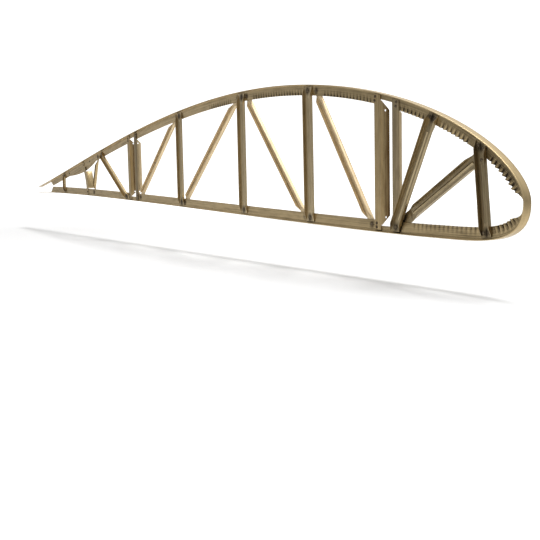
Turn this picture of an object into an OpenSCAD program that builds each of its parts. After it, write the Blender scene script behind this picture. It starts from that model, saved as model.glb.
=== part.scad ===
// Wing rib: a built-up truss of formed sheet for a fabric-covered wing.
// Millimetres. +X points to the nose, +Y away from the viewer, +Z up.
// The origin is on the face that bears on the aft side of the front spar, in the plane of the rib's web.

/* [Outline] */
// Length from nose to tail
chord = 1600; // [1520:5:1700]
// Crest of the upper edge, behind the nose
crest_back = 522; // [490:1:560]
// Crest above the nose tip
crest_up = 155; // [140:1:170]
// Reach of the curve from the nose tip upwards
nose_up_pull = 50; // [46:1:56]
// Reach of the curve from the crest to the nose
crest_nose_pull = 351; // [325:1:375]
// Reach of the curve from the crest to the tail
crest_tail_pull = 333; // [280:1:400]
// Upper edge at the tail, above the nose tip
tail_top_up = 5.8; // [4:0.1:8]
// Slope of the upper edge at the tail, in degrees
tail_top_slope = 9.2; // [8.4:0.1:10]
// Reach of the upper curve at the tail
tail_top_pull = 346; // [280:1:400]
// Reach of the curve from the nose tip downwards
nose_down_pull = 46; // [40:1:52]
// Lowest point of the lower edge, behind the nose
low_back = 132; // [120:1:145]
// Lowest point below the nose tip
low_down = 41.3; // [38:0.1:46]
// Reach of the lower curve to the nose
low_nose_pull = 73; // [64:1:82]
// Reach of the lower curve to the tail
low_tail_pull = 228; // [180:1:300]
// Lower edge at the tail, below the nose tip
tail_low_down = 9.4; // [8:0.1:12]
// Slope of the lower edge at the tail, in degrees
tail_low_slope = 1.7; // [0.8:0.1:2.4]
// Reach of the lower curve at the tail
tail_low_pull = 308; // [260:1:340]

/* [Cap strip] */
// Width of the cap's flange
cap_w = 11; // [9:0.5:14]
// Height of the cap over flange and web
cap_h = 14.3; // [13:0.1:17]
// Thickness of the cap's flange
flange_t = 1.2; // [0.8:0.1:1.6]
// Thickness of the cap's web
web_t = 1.2; // [0.8:0.1:1.6]
// Depth from the outer face at which the crimps begin
plain_band = 5.5; // [4:0.1:7]
// Length of one crimp along the cap
crimp_pitch = 7.1; // [6:0.1:9]
// Sideways throw of the pleats round the nose
pleat_throw = 1.7; // [1:0.1:2.2]
// Sideways throw of the flutes farther aft
flute_throw = 0.55; // [0.3:0.05:0.9]
// Where the upper flutes end, behind the nose
crimp_top_back = 680; // [620:5:740]
// Where the lower pleats end, behind the nose
crimp_low_back = 178; // [160:1:186]
// Where the pleats reach their full throw, behind the nose
pleat_full_back = 110; // [90:1:140]
// Where the pleats start to deepen, behind the nose
pleat_grow_back = 270; // [245:1:320]
// Cap height left where a spar passes
scoop_h = 7.6; // [6.5:0.1:9]
// Length over which a scoop rounds up to the full web
scoop_round = 4.5; // [3:0.5:6]
// Length of bare flange at the tail, past the web
tail_bare = 86; // [82:1:100]
// Height over which the web is cut off at the tail
tail_cut = 14; // [10:1:20]
// Web left standing on the bare flange
tail_stub = 0.6; // [0.4:0.1:1]
// Cap height left at the nose tip
nose_web = 5.8; // [5:0.1:7]
// Length over which the web grows back from the nose tip
nose_taper = 22; // [18:1:28]

/* [Channels] */
// Thickness of the channels' sheet
sheet_t = 0.8; // [0.6:0.1:1.1]
// Width across the base of the main diagonals
channel_w = 11; // [9:0.5:12]
// Height of the main diagonals' walls, base included
channel_h = 5.4; // [4.5:0.1:7]
// Width across an upright's base
upright_w = 19.5; // [17:0.5:20.5]
// Height of an upright's walls, base included
upright_h = 3.8; // [3:0.1:5]
// Width across the nose strut's base
strut_w = 14.5; // [14:0.5:16]
// Width across the spar brace's base
brace_w = 15.5; // [14:0.5:17]
// Width across the nose diagonal's base
nose_diagonal_w = 14.5; // [13:0.5:16]
// Width across the base of the two tail channels
tail_w = 12.5; // [11:0.5:13.5]
// Height of the walls of the nose and tail channels, base included
strut_h = 4.5; // [3.6:0.1:5.5]
// Width of the bead pressed along the base
bead_w = 4; // [3:0.1:5]
// Height of the bead
bead_h = 1.3; // [0.8:0.1:1.8]
// Length over which a wall runs out at its end
wall_runout = 9; // [5:0.5:12]
// Clearance between an end and the cap's flange
end_gap = 1; // [0.6:0.1:1.5]
// Clearance between a wall and the piece beside it
wall_gap = 1; // [0.6:0.1:1.6]
// Length of a tab past its rivet
tab_past = 5; // [4:0.1:6]
// Width of the slim cove strut
slim_w = 7; // [6:0.5:9]

/* [Spar angles] */
// Width of a spar between its two angles
spar_w = 22; // [19:0.5:25.5]
// Front spar's aft face, behind the nose
front_spar_back = 231; // [225:1:237]
// Distance between the aft faces of the two spars
spar_spacing = 779; // [760:1:800]
// Width of an angle's riveted flange
angle_w = 12; // [11:0.5:13.5]
// Depth of an angle's plate along the spar
angle_d = 14; // [12:0.5:18]
// Thickness of an angle
angle_t = 1; // [0.8:0.1:1.3]
// Slant cut off the far corners of a plate
plate_slant = 11; // [8:0.5:14]
// Radius of a nail hole
nail_r = 1.3; // [1:0.1:1.6]
// Nail holes behind the front face of the flange
nail_deep = 8; // [7:0.1:9]
// Distance between the front spar's nails
front_nails = 128; // [112:1:132]
// Distance between the rear spar's nails
rear_nails = 92; // [80:1:96]
// Middle of the rear spar's nails above the origin
rear_nails_up = 4.5; // [2:0.5:7]

/* [Stations behind the nose] */
// Nose strut, top
nose_strut_top = 60; // [57:0.5:66]
// Nose strut, foot
nose_strut_foot = 54.5; // [50:0.5:60]
// Spar brace, top
brace_top = 136; // [130:0.5:146]
// Shared foot of the spar brace and the nose diagonal
brace_foot = 202.5; // [200:0.5:204]
// First diagonal, top
first_diagonal_top = 367; // [355:0.5:372]
// First diagonal, foot
first_diagonal_foot = 250; // [249.5:0.5:262]
// First upright
first_upright_back = 386; // [383:0.5:386.5]
// Second diagonal, top
second_diagonal_top = 553; // [545:0.5:555]
// Second diagonal, foot
second_diagonal_foot = 398.5; // [398:0.5:410]
// Second upright
second_upright_back = 568; // [565:0.5:568.5]
// Third diagonal, top
third_diagonal_top = 580; // [579.5:0.5:590]
// Third diagonal, foot
third_diagonal_foot = 774.5; // [762:0.5:775]
// Third upright
third_upright_back = 786.5; // [786:0.5:787]
// Fourth diagonal, top
fourth_diagonal_top = 798.5; // [798:0.5:812]
// Fourth diagonal's foot, ahead of the rear spar's angle
fourth_diagonal_foot = 9; // [8.5:0.5:20]

/* [Stations ahead of the tail] */
// Tail diagonal, top
tail_diagonal_top = 434; // [424:0.5:440]
// Tail diagonal's foot behind the rear spar's aft face
tail_diagonal_gap = 27; // [26:0.5:36]
// Cove strut, top
cove_strut_top = 411; // [404:0.5:416]
// Cove strut, foot
cove_strut_foot = 381; // [377:0.5:388]
// Centre of the cove's curve
cove_centre = 240; // [232:0.5:248]
// Radius of the cove's curve
cove_r = 110; // [104:0.5:116]
// Centre of the cove's curve below the nose tip
cove_down = 8; // [4:0.5:12]
// Tail upright
tail_upright = 191; // [184:0.5:198]
// Sag of the gusset below the upper web
gusset_sag = 8; // [5:0.5:11]

/* [Rivets] */
// Depth of the rivets from the cap's outer face
rivet_line = 8; // [7:0.1:8.6]
// Radius of a rivet
rivet_r = 1; // [0.8:0.05:1.2]
// Radius of a rivet's head
head_r = 1.9; // [1.6:0.1:2.1]
// Height of a rivet's head
head_h = 0.8; // [0.5:0.1:1]
// Clearance round a rivet
rivet_gap = 0.05; // [0.02:0.01:0.1]
// Distance between the two rivets of the nose strut's and the brace's ends
rivet_pair = 8.4; // [8:0.1:8.6]
// Depth of the nose diagonal's rivet on the strut, from the outer face
nose_rivet = 19; // [18.5:0.5:20]
// Depth at which the nose diagonal's middle line meets the strut's, from the outer face
nose_aim = 15; // [14:0.5:17]

/* [Hidden] */

BRONZE = [0.62, 0.52, 0.35];
DARK_BRONZE = [0.45, 0.36, 0.22];
PALE_BRONZE = [0.78, 0.68, 0.46];
STEEL = [0.35, 0.32, 0.28];

// Heights are counted from the nose tip, which lies this far below the origin
nose_z = -41.6;
nose_x = front_spar_back;
rear_spar_back = front_spar_back + spar_spacing;

// The outline's four curves, from the upper tail round the nose to the lower tail, as [X, Z]
function spot(back, up) = [nose_x - back, nose_z + up];
tail_top = spot(chord, tail_top_up);
tail_low = spot(chord, -tail_low_down);
crest = spot(crest_back, crest_up);
tip = spot(0, 0);
lowest = spot(low_back, -low_down);
CURVES = [
    [tail_top, tail_top + tail_top_pull * [cos(tail_top_slope), sin(tail_top_slope)],
        crest - [crest_tail_pull, 0], crest],
    [crest, crest + [crest_nose_pull, 0], tip + [0, nose_up_pull], tip],
    [tip, tip - [0, nose_down_pull], lowest + [low_nose_pull, 0], lowest],
    [lowest, lowest - [low_tail_pull, 0],
        tail_low + tail_low_pull * [cos(tail_low_slope), sin(tail_low_slope)], tail_low]
];
function curve_at(c, t) =
    c[0] * pow(1 - t, 3) + 3 * c[1] * t * pow(1 - t, 2) + 3 * c[2] * t * t * (1 - t) + c[3] * pow(t, 3);
function curve_run(c, t) =
    3 * (c[1] - c[0]) * pow(1 - t, 2) + 6 * (c[2] - c[1]) * t * (1 - t) + 3 * (c[3] - c[2]) * t * t;
function part_of(g) = min(3, floor(g));
function outline(g) = curve_at(CURVES[part_of(g)], g - part_of(g));
function unit(v) = v / norm(v);
function along(g) = unit(curve_run(CURVES[part_of(g)], g - part_of(g)));

// Length along the outline, and the place on the outline at a length
STEPS = 320;
LENGTHS = [for (i = 0, s = 0; i <= STEPS;
    s = s + (i < STEPS ? norm(outline(4 * (i + 1) / STEPS) - outline(4 * i / STEPS)) : 0), i = i + 1)
    [s, 4 * i / STEPS]];
whole = LENGTHS[STEPS][0];
TOP_RUN = [for (i = [0 : STEPS / 2]) [outline(LENGTHS[i][1])[0], LENGTHS[i][0]]];
LOW_RUN = [for (i = [STEPS : -1 : STEPS / 2]) [outline(LENGTHS[i][1])[0], LENGTHS[i][0]]];
function top_at(back) = lookup(nose_x - back, TOP_RUN);
function low_at(back) = lookup(nose_x - back, LOW_RUN);
function edge(s) = outline(lookup(s, LENGTHS));
function run(s) = along(lookup(s, LENGTHS));
function inward(s) = [run(s)[1], -run(s)[0]];
function inside(s, depth) = edge(s) + inward(s) * depth;

// Where each member is riveted, as the length along the outline
nose_strut_a = top_at(nose_strut_top);
nose_strut_b = low_at(nose_strut_foot);
brace_a = top_at(brace_top);
brace_b = low_at(brace_foot);
first_diagonal_a = top_at(first_diagonal_top);
first_diagonal_b = low_at(first_diagonal_foot);
first_upright_a = top_at(first_upright_back);
first_upright_b = low_at(first_upright_back);
second_diagonal_a = top_at(second_diagonal_top);
second_diagonal_b = low_at(second_diagonal_foot);
second_upright_a = top_at(second_upright_back);
second_upright_b = low_at(second_upright_back);
third_diagonal_a = top_at(third_diagonal_top);
third_diagonal_b = low_at(third_diagonal_foot);
third_upright_a = top_at(third_upright_back);
third_upright_b = low_at(third_upright_back);
fourth_diagonal_a = top_at(fourth_diagonal_top);
fourth_diagonal_b = low_at(rear_spar_back - spar_w - angle_w - fourth_diagonal_foot);
tail_diagonal_a = top_at(chord - tail_diagonal_top);
tail_diagonal_b = low_at(rear_spar_back + tail_diagonal_gap);
cove_strut_a = top_at(chord - cove_strut_top);
cove_strut_b = low_at(chord - cove_strut_foot);
tail_upright_a = top_at(chord - tail_upright);
tail_upright_b = low_at(chord - tail_upright);
front_tail_angle_mid = front_spar_back + angle_w / 2;
front_nose_angle_mid = front_spar_back - spar_w - angle_w / 2;
rear_tail_angle_mid = rear_spar_back + angle_w / 2;
rear_nose_angle_mid = rear_spar_back - spar_w - angle_w / 2;

// The cove's curve and where it meets the caps
cove_mid = spot(chord - cove_centre, -cove_down);
cove_out = cove_r - angle_w / 2;
function cove_meets(back) = norm(joint(top_at(back)) - cove_mid) - cove_out;
function cove_root(lo, hi, n) = n == 0 ? (lo + hi) / 2
    : cove_meets((lo + hi) / 2) > 0 ? cove_root((lo + hi) / 2, hi, n - 1)
    : cove_root(lo, (lo + hi) / 2, n - 1);
cove_a = top_at(cove_root(chord - cove_centre - cove_r, chord - cove_centre, 24));
cove_b = low_at(chord - cove_centre - sqrt(cove_out * cove_out - pow(0.12 * cove_out, 2)));

// The riveted points of each member as [X, Z]
function joint(s) = inside(s, rivet_line);
function heading(b, a) = atan2((a - b)[0], (a - b)[1]);
strut_top = joint(nose_strut_a);
strut_foot = joint(nose_strut_b);
strut_way = unit(strut_top - strut_foot);
function on_strut(depth) = let (n = inward(nose_strut_a))
    strut_foot + strut_way * ((depth - (strut_foot - edge(nose_strut_a)) * n) / (strut_way * n));
nose_shared = on_strut(nose_rivet);
nose_end = on_strut(nose_aim);
brace_low = joint(brace_b);

// Flat lands in the crimps under each riveted end, as [length along the outline, half width]
function lean(b, a, s) = abs(unit(joint(a) - joint(b)) * inward(s));
function land_half(c, w) = (w / 2 + (cap_h - rivet_line) * sqrt(1 - c * c)) / c + crimp_pitch / 2;
LANDS = concat(
    [for (m = [[nose_strut_b, nose_strut_a, strut_w], [nose_strut_a, nose_strut_b, strut_w],
        [brace_a, brace_b, brace_w], [first_upright_a, first_upright_b, upright_w],
        [second_upright_a, second_upright_b, upright_w], [first_diagonal_a, first_diagonal_b, channel_w],
        [second_diagonal_a, second_diagonal_b, channel_w], [third_diagonal_a, third_diagonal_b, channel_w]])
        [m[0], land_half(lean(m[1], m[0], m[0]), m[2])]],
    [[brace_b, land_half(abs(unit(nose_end - brace_low) * inward(brace_b)), nose_diagonal_w)]],
    [for (x = [front_tail_angle_mid, front_nose_angle_mid]) [top_at(x), angle_w / 2 + 4]]);
function ramp(v) = max(0, min(1, v));
function ease(v) = ramp(v) * ramp(v) * (3 - 2 * ramp(v));
function land(s) = min([for (l = LANDS) ramp((abs(s - l[0]) - l[1]) / (crimp_pitch / 2))]);

// Scoops where the spars pass, and the cut-off web at the tail
SCOOPS = [for (r = [top_at(front_spar_back), low_at(front_spar_back), top_at(rear_spar_back),
    low_at(rear_spar_back)]) r];
SCOOP_ENDS = [for (r = [top_at(front_spar_back - spar_w), low_at(front_spar_back - spar_w),
    top_at(rear_spar_back - spar_w), low_at(rear_spar_back - spar_w)]) r];
scoop_spare = angle_t + wall_gap + crimp_pitch / 2;
function scoop(s, i) =
    ease((abs(s - (SCOOPS[i] + SCOOP_ENDS[i]) / 2) - abs(SCOOPS[i] - SCOOP_ENDS[i]) / 2 - scoop_spare)
        / scoop_round);
function scooped(s) = min([for (i = [0 : 3]) scoop(s, i)]);
top_bare = top_at(chord - tail_bare);
low_bare = low_at(chord - tail_bare);
function tailed(s) = min(ramp((s - top_bare) / tail_cut), ramp((low_bare - s) / tail_cut));
// At the nose the web is cut away from a little above the tip to well below it
nose_mid = top_at(0) + 4;
nose_flat = 6;
function nosed(s) = ease((abs(s - nose_mid) - nose_flat) / nose_taper);
function web_h(s) = min(scoop_h + (cap_h - scoop_h) * scooped(s), nose_web + (cap_h - nose_web) * nosed(s),
    flange_t + tail_stub + (cap_h - flange_t - tail_stub) * tailed(s));

// The throw of the crimps grows from shallow flutes aft to deep pleats round the nose
crimp_from = top_at(crimp_top_back);
crimp_to = low_at(crimp_low_back);
function back_of(s) = nose_x - edge(s)[0];
function throw(s) = (flute_throw + (pleat_throw - flute_throw)
    * ease((pleat_grow_back - back_of(s)) / (pleat_grow_back - pleat_full_back)))
    * land(s) * ramp((web_h(s) - scoop_h) / (cap_h - scoop_h))
    * ramp((s - crimp_from) / (3 * crimp_pitch)) * ramp((crimp_to - s) / crimp_pitch);

// The rings of the cap, as [length along the outline, side of the crimp]
coarse = 48;
fine = 3;
function span(a, b, step) = [for (i = [0 : max(1, ceil((b - a) / step)) - 1])
    [a + (b - a) * i / max(1, ceil((b - a) / step)), 0]];
function scoop_from(i) = min(SCOOPS[i], SCOOP_ENDS[i]) - scoop_spare - scoop_round;
function scoop_to(i) = max(SCOOPS[i], SCOOP_ENDS[i]) + scoop_spare + scoop_round;
function slot_rings(i) = concat(span(scoop_from(i), scoop_from(i) + scoop_round, scoop_round / 4),
    span(scoop_from(i) + scoop_round, scoop_to(i) - scoop_round, coarse),
    span(scoop_to(i) - scoop_round, scoop_to(i), scoop_round / 4));
crimps = 2 * round((crimp_to - crimp_from) / crimp_pitch);
RINGS = concat(
    span(0, top_bare, coarse), span(top_bare, top_bare + tail_cut, tail_cut / 2),
    span(top_bare + tail_cut, scoop_from(2), coarse), slot_rings(2), span(scoop_to(2), crimp_from, coarse),
    [for (i = [0 : crimps - 1]) [crimp_from + (crimp_to - crimp_from) * i / crimps, i % 2 == 0 ? 1 : -1]],
    span(crimp_to, scoop_from(1), coarse), slot_rings(1), span(scoop_to(1), scoop_from(3), coarse),
    slot_rings(3), span(scoop_to(3), low_bare - tail_cut, coarse),
    span(low_bare - tail_cut, low_bare, tail_cut / 2), span(low_bare, whole, coarse), [[whole, 0]]);

// One ring of the T section, as points [X, Y, Z]
function at_depth(s, y, depth) = [inside(s, depth)[0], y, inside(s, depth)[1]];
function ring_of(s, side) = let (h = web_h(s), band = min(plain_band, flange_t + 0.45 * (h - flange_t)),
    off = side * throw(s))
    [at_depth(s, -cap_w / 2, 0), at_depth(s, cap_w / 2, 0), at_depth(s, cap_w / 2, flange_t),
        at_depth(s, web_t / 2, flange_t), at_depth(s, web_t / 2, band), at_depth(s, web_t / 2 + off, h),
        at_depth(s, -web_t / 2 + off, h), at_depth(s, -web_t / 2, band), at_depth(s, -web_t / 2, flange_t),
        at_depth(s, -cap_w / 2, flange_t)];
SIDES = 10;
CAP_POINTS = [for (r = RINGS) each ring_of(r[0], r[1])];
last = len(RINGS) - 1;
// The near and the far side of the web are split along the same diagonals, so a pleat keeps its thickness
function split(a, b, c, d, far) = far ? [[a, b, c], [a, c, d]] : [[a, b, d], [b, c, d]];
END_FACES = [[0, 1, 2], [0, 2, 3], [0, 3, 8], [0, 8, 9], [3, 4, 7], [3, 7, 8], [4, 5, 6], [4, 6, 7]];
CAP_FACES = concat(
    [for (f = END_FACES) [f[2], f[1], f[0]]],
    [for (i = [0 : last - 1], k = [0 : SIDES - 1]) each split(i * SIDES + k, i * SIDES + (k + 1) % SIDES,
        (i + 1) * SIDES + (k + 1) % SIDES, (i + 1) * SIDES + k, k < SIDES / 2)],
    [for (f = END_FACES) [for (k = f) last * SIDES + k]]);

// Layers across the rib, from the viewer's side to the far side
web_front = -web_t / 2;
web_back = web_t / 2;
tab_front = web_front - sheet_t;
tab_back = web_back + sheet_t;
angle_front = web_front - angle_t;

// Length of a channel's end that lies under or beside another channel, from their shared point
function crossing(b, a, d, c, w, other) = let (turn = abs(heading(b, a) - heading(d, c)))
    (other / 2 + wall_gap) / sin(turn) + (w / 2) / abs(tan(turn));
diagonal_under_brace = crossing(brace_low, nose_end, brace_low, joint(brace_a), nose_diagonal_w, brace_w);
diagonal_under_strut = crossing(brace_low, nose_end, strut_foot, strut_top, nose_diagonal_w, strut_w);

// Where a line at a depth under the cap's outer face cuts a channel, along the channel at x across it
function cut_at(b, a, s, depth, x) = let (e = unit(a - b), n = [e[1], -e[0]])
    (depth - (b - edge(s)) * inward(s) - (n * inward(s)) * x) / (e * inward(s));

// Moves a shape drawn along a channel, with x across it and z along it, to its place in the rib
module place(b, a) {
    translate([b[0], 0, b[1]])
    rotate([0, heading(b, a), 0])
    children();
}

// A cylinder across the rib at a riveted point
module across(p, r, y0, y1) {
    translate([p[0], y0, p[1]])
    rotate([-90, 0, 0])
    cylinder(h = y1 - y0, r = r, $fn = 24);
}

// The hole of a rivet
module rivet_hole(p) {
    across(p, rivet_r + rivet_gap, -20, 20);
}

// Half a rivet as a turned profile: a low round head, and its shank through a grip of sheet down to the web
function half_rivet(grip) = concat(
    [[0, -head_h], [0.55 * head_r, -head_h], [head_r, -0.4 * head_h], [head_r, 0]],
    grip > 0 ? [[rivet_r, 0], [rivet_r, grip], [0, grip]] : [[0, 0]]);

// A rivet from y0 to y1, in two halves that meet the cap's web from its two sides
module rivet(p, y0, y1) {
    translate([p[0], y0, p[1]])
    rotate([-90, 0, 0])
    rotate_extrude($fn = 24)
    polygon(half_rivet(web_front - y0));
    translate([p[0], y1, p[1]])
    rotate([90, 0, 0])
    rotate_extrude($fn = 24)
    polygon(half_rivet(y1 - web_back));
}

// A rivet from y0 to y1 through sheets that lie on each other, clear of the cap
module through_rivet(p, y0, y1) {
    translate([p[0], y0, p[1]])
    rotate([-90, 0, 0])
    rotate_extrude($fn = 24)
    polygon([[0, -head_h], [0.55 * head_r, -head_h], [head_r, -0.4 * head_h], [head_r, 0], [rivet_r, 0],
        [rivet_r, y1 - y0], [head_r, y1 - y0], [head_r, y1 - y0 + 0.4 * head_h],
        [0.55 * head_r, y1 - y0 + head_h], [0, y1 - y0 + head_h]]);
}

// The two rivets of an end, side by side along the cap
function pair(s) = [joint(s) - run(s) * rivet_pair / 2, joint(s) + run(s) * rivet_pair / 2];

// A strip along a channel between the cuts at its two ends, from y0 to y1
module flat_strip(b, a, sb, sa, w, y0, y1, depth_b, depth_a) {
    place(b, a)
    translate([0, y1, 0])
    rotate([90, 0, 0])
    linear_extrude(height = y1 - y0)
    polygon([[-w / 2, cut_at(b, a, sb, depth_b, -w / 2)], [w / 2, cut_at(b, a, sb, depth_b, w / 2)],
        [w / 2, cut_at(b, a, sa, depth_a, w / 2)], [-w / 2, cut_at(b, a, sa, depth_a, -w / 2)]]);
}

// The square ends of a channel's tabs
module square_ends(b, a, w) {
    place(b, a)
    translate([-w, -30, -tab_past])
    cube([2 * w, 60, norm(a - b) + 2 * tab_past]);
}

// One wall of a channel, with both ends run out, from the base at y1 to the edge at y0
module wall(b, a, x, z0, z1, y0, y1) {
    place(b, a)
    translate([x, 0, 0])
    rotate([90, 0, 90])
    linear_extrude(height = sheet_t)
    polygon([[y1, z0], [y1, z1], [y1 - sheet_t, z1], [y0, z1 - wall_runout], [y0, z0 + wall_runout],
        [y1 - sheet_t, z0]]);
}

// The bead along a channel's base: its ridge on the near side, or its groove on the far side
module bead(b, a, z0, z1, y) {
    place(b, a)
    translate([0, y, z0])
    linear_extrude(height = z1 - z0)
    polygon([[-bead_w / 2, 0], [0, -bead_h], [bead_w / 2, 0]]);
}

// A pressed channel between two riveted points: base at y1 on the cap's web, walls towards the viewer.
// hold is the depth under the cap at which the walls stop; trim_b and trim_a shorten them where another
// piece lies in their way; plain_a is the length without a bead at the end a
module channel(b, a, sb, sa, w, h, y1, hold, trim_b, trim_a, holes, plain_a = rivet_line) {
    left_b = max(cut_at(b, a, sb, hold, -w / 2), cut_at(b, a, sb, hold, sheet_t - w / 2), trim_b);
    left_a = min(cut_at(b, a, sa, hold, -w / 2), cut_at(b, a, sa, hold, sheet_t - w / 2),
        norm(a - b) - trim_a);
    right_b = max(cut_at(b, a, sb, hold, w / 2), cut_at(b, a, sb, hold, w / 2 - sheet_t), trim_b);
    right_a = min(cut_at(b, a, sa, hold, w / 2), cut_at(b, a, sa, hold, w / 2 - sheet_t),
        norm(a - b) - trim_a);
    bead_b = max(left_b, right_b, rivet_line) + 2;
    bead_a = min(left_a, right_a, norm(a - b) - plain_a) - 2;
    difference() {
        union() {
            intersection() {
                flat_strip(b, a, sb, sa, w, y1 - sheet_t, y1, flange_t + end_gap, flange_t + end_gap);
                square_ends(b, a, w);
            }
            wall(b, a, -w / 2, left_b, left_a, y1 - h, y1);
            wall(b, a, w / 2 - sheet_t, right_b, right_a, y1 - h, y1);
            bead(b, a, bead_b, bead_a, y1 - sheet_t);
        }
        bead(b, a, bead_b + sheet_t, bead_a - sheet_t, y1);
        for (p = holes) rivet_hole(p);
    }
}

// A channel on the near face of the web, with one rivet at each end
module near_channel(sb, sa, w, h) {
    channel(joint(sb), joint(sa), sb, sa, w, h, web_front, flange_t + 2 * end_gap, -rivet_line, -rivet_line,
        [joint(sb), joint(sa)]);
}

// A channel on the far face of the web, with one rivet at each end and its walls clear of the web
module far_channel(sb, sa, w) {
    channel(joint(sb), joint(sa), sb, sa, w, channel_h, tab_back, cap_h + wall_gap, -rivet_line, -rivet_line,
        [joint(sb), joint(sa)]);
}

// The crimped T-section strip, bent in one piece round the nose
module cap_strip() {
    color(BRONZE)
    polyhedron(points = CAP_POINTS, faces = CAP_FACES, convexity = 12);
}

// Upright behind the nose, with the nose diagonal's end riveted behind it
module nose_strut() {
    color(DARK_BRONZE)
    channel(strut_foot, strut_top, nose_strut_b, nose_strut_a, strut_w, strut_h, web_front,
        flange_t + 2 * end_gap, -rivet_line, -rivet_line,
        concat(pair(nose_strut_b), pair(nose_strut_a), [nose_shared]),
        norm(strut_top - nose_shared) + head_r);
}

// The bent profile of a stepped channel's base, as a strip along it: at y1 up to z, at y2 a bend farther on
bend_run = 5;
module stepped_base(b, a, w, y1, y2, z) {
    place(b, a)
    translate([-w, 0, 0])
    rotate([90, 0, 90])
    linear_extrude(height = 2 * w)
    polygon([[y1, -60], [y1, z], [y2, z + bend_run], [y2, norm(a - b) + 60],
        [y2 - sheet_t, norm(a - b) + 60], [y2 - sheet_t, z + bend_run], [y1 - sheet_t, z],
        [y1 - sheet_t, -60]]);
}

// Diagonal from the front spar's foot, on the far side of the web, to the back of the nose strut
module nose_diagonal() {
    b = brace_low;
    a = nose_end;
    w = nose_diagonal_w;
    y2 = web_front + sheet_t;
    step_b = cut_at(b, a, brace_b, cap_h + 2 * wall_gap, w / 2);
    z0 = max(step_b + bend_run, diagonal_under_brace);
    z1 = norm(a - b) - diagonal_under_strut;
    color(BRONZE)
    difference() {
        union() {
            intersection() {
                flat_strip(b, a, brace_b, nose_strut_a, w, -30, 30, flange_t + end_gap, cap_h + wall_gap);
                place(b, a)
                translate([-w, -30, -tab_past])
                cube([2 * w, 60, 2 * norm(a - b)]);
                stepped_base(b, a, w, tab_back, y2, step_b);
                // The far end stops inside the strut's width
                place(strut_foot, strut_top)
                translate([strut_w / 2 - wall_gap - 300, -30, -100])
                cube([300, 60, 400]);
            }
            for (x = [-w / 2, w / 2 - sheet_t])
                wall(b, a, x, z0, z1, y2 - strut_h, y2);
            bead(b, a, z0 + 2, z1 - 2, y2 - sheet_t);
        }
        bead(b, a, z0 + 2 + sheet_t, z1 - 2 - sheet_t, y2);
        for (p = [b, nose_shared]) rivet_hole(p);
        // Room for the spar angle's plate beside the foot
        translate([spar_w + angle_t + wall_gap - w, -20, b[1] - 2 * w])
        cube([w, 40, 4 * w]);
    }
}

// Brace from the front spar's foot to the upper cap, stepped down onto the web at its top
module spar_brace() {
    b = brace_low;
    a = joint(brace_a);
    w = brace_w;
    y1 = angle_front;
    step_a = norm(a - b) - rivet_line - 6;
    hold = flange_t + 2 * end_gap;
    color(DARK_BRONZE)
    difference() {
        union() {
            intersection() {
                flat_strip(b, a, brace_b, brace_a, w, -30, 30, flange_t + end_gap, flange_t + end_gap);
                square_ends(b, a, w);
                stepped_base(b, a, w, y1, web_front, step_a);
            }
            for (x = [-w / 2, w / 2 - sheet_t])
                stepped_wall(b, a, x,
                    max(cut_at(b, a, brace_b, hold, x), cut_at(b, a, brace_b, hold, x + sheet_t),
                        -rivet_line),
                    min(cut_at(b, a, brace_a, hold, x), cut_at(b, a, brace_a, hold, x + sheet_t)),
                    y1 - strut_h, y1, web_front, step_a);
            bead(b, a, rivet_line + 2, step_a - 2, y1 - sheet_t);
        }
        bead(b, a, rivet_line + 2 + sheet_t, step_a - 2 - sheet_t, y1);
        for (p = concat([b], pair(brace_a))) rivet_hole(p);
    }
}

// A wall that follows a stepped base from y1 to y2 past z, with its edge at y0
module stepped_wall(b, a, x, z0, z1, y0, y1, y2, z) {
    place(b, a)
    translate([x, 0, 0])
    rotate([90, 0, 90])
    linear_extrude(height = sheet_t)
    polygon([[y1, z0], [y1, z], [y2, z + bend_run], [y2, z1], [y2 - sheet_t, z1], [y0, z1 - wall_runout],
        [y0, z0 + wall_runout], [y1 - sheet_t, z0]]);
}

// A spar angle: a flange riveted on the near face of the web and a plate back along the spar.
// face is the plate's bearing face behind the nose, side is 1 for a flange towards the tail
module spar_angle(face, side, nail_gap, nail_up, holes) {
    x_face = nose_x - face;
    x_far = x_face - side * angle_w;
    x_back = x_face - side * angle_t;
    sa0 = top_at(face);
    sb0 = low_at(face);
    top0 = edge(top_at(face))[1] - (scoop_h + wall_gap) / abs(inward(sa0)[1]);
    low0 = edge(low_at(face))[1] + (scoop_h + wall_gap) / abs(inward(sb0)[1]);
    y_far = angle_front + angle_d;
    difference() {
        union() {
            // The riveted flange, its ends cut along the caps
            translate([0, web_front, 0])
            rotate([90, 0, 0])
            linear_extrude(height = angle_t)
            polygon([for (q = [[x_face, 1], [x_far, 1], [x_far, -1], [x_face, -1]]) [q[0],
                q[1] > 0 ? cap_line(nose_x - q[0], top_at(face + side * angle_w / 2), flange_t + end_gap)
                    : cap_line(nose_x - q[0], low_at(face + side * angle_w / 2), flange_t + end_gap)]]);
            // The plate along the spar, its far corners slanted off
            translate([min(x_face, x_back), 0, 0])
            rotate([90, 0, 90])
            linear_extrude(height = angle_t)
            polygon([[angle_front, low0], [web_back, low0], [y_far, low0 + plate_slant],
                [y_far, top0 - plate_slant], [web_back, top0], [angle_front, top0]]);
        }
        for (z = [-nail_gap / 2, nail_gap / 2])
            translate([x_face - 5, angle_front + nail_deep, nail_up + z])
            rotate([0, 90, 0])
            cylinder(h = 10, r = nail_r, $fn = 24);
        for (p = holes) rivet_hole(p);
    }
}

// Height of the line at a depth under the cap, at a place behind the nose, from the tangent at s
function cap_line(back, s, depth) = let (p = inside(s, depth), t = run(s))
    p[1] + (nose_x - back - p[0]) * t[1] / t[0];

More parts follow.
